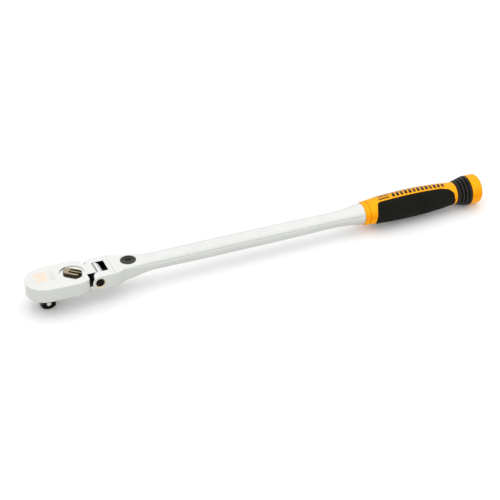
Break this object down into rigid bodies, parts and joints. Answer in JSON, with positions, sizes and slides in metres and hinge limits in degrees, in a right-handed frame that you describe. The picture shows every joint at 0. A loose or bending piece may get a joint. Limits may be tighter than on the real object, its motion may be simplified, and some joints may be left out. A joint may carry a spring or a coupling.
{
  "type": "locking flex-head ratchet wrench",
  "caption": "Long locking flex-head ratchet wrench with a teardrop head, square drive, reversing lever, lock button and a two-material grip.",
  "frame": {"origin": "centre of the end face of the drive square, on the drive axis", "axes": "+Z along the drive axis towards the reversing lever, +X from the drive along the handle to the end cap, +Y completes a right-handed set"},
  "size_m": [0.4585, 0.0388, 0.0364],
  "materials": {
    "chrome": "polished chrome plating over forged steel",
    "black_steel": "black oxide, satin",
    "dark_nickel": "dark nickel plating, satin",
    "bare_steel": "ground bare steel",
    "spring_steel": "drawn wire",
    "orange_plastic": "moulded plastic, satin",
    "black_rubber": "soft grip rubber, fine matt grain",
    "seal_rubber": "smooth nitrile rubber"
  },
  "bodies": {
    "handle": {"handle_shank": "chrome", "hinge_pin": "black_steel", "button_retaining_ring": "black_steel", "lock_button_spring": "spring_steel", "lock_plunger_spring": "spring_steel", "grip_core": "orange_plastic", "grip_panel": "black_rubber", "ribbed_ring": "black_rubber", "end_cap": "orange_plastic"},
    "head": {"head_body": "chrome", "gear_cover_plate": "bare_steel", "cover_snap_ring": "bare_steel", "lever_retaining_ring": "bare_steel"},
    "drive": {"drive_gear": "black_steel", "detent_spring": "spring_steel"},
    "detent": {"detent_ball": "bare_steel"},
    "pawl": {"pawl": "bare_steel"},
    "lever": {"reversing_lever": "dark_nickel", "lever_plunger": "bare_steel", "lever_spring": "spring_steel", "lever_seal": "seal_rubber"},
    "button": {"lock_button": "black_steel", "button_cross_pin": "bare_steel"},
    "plunger": {"lock_plunger": "bare_steel"}
  },
  "joints": [
    {"name": "head_flex", "type": "hinge", "parent": "handle", "child": "head", "pos_m": [0.04588, 0, 0.02175], "axis": [0, 1, 0], "range_deg": [-90, 90]},
    {"name": "drive_spin", "type": "hinge", "parent": "head", "child": "drive", "pos_m": [0, 0, 0.02175], "axis": [0, 0, 1], "continuous": true},
    {"name": "detent_press", "type": "slide", "parent": "drive", "child": "detent", "axis": [0, 1, 0], "range_m": [0, 0.0012], "stiffness_N_per_m": 2500, "springref_m": -0.002, "deforming": ["detent_spring"]},
    {"name": "lever_swing", "type": "hinge", "parent": "head", "child": "lever", "pos_m": [0.0245, 0, 0.02175], "axis": [0, 0, 1], "range_deg": [0, 80]},
    {"name": "pawl_shift", "type": "hinge", "parent": "head", "child": "pawl", "pos_m": [0, 0, 0.02175], "axis": [0, 0, 1], "range_deg": [-10, 0]},
    {"name": "button_press", "type": "slide", "parent": "handle", "child": "button", "axis": [0, 0, -1], "range_m": [0, 0.002], "stiffness_N_per_m": 1500, "springref_m": -0.004, "deforming": ["lock_button_spring"]},
    {"name": "plunger_draw", "type": "slide", "parent": "handle", "child": "plunger", "axis": [1, 0, 0], "range_m": [0, 0.002], "deforming": ["lock_plunger_spring"]}
  ],
  "couplings": [
    {"joint": "pawl_shift", "follows": "lever_swing", "ratio": -0.125},
    {"joint": "plunger_draw", "follows": "button_press", "ratio": 1}
  ]
}
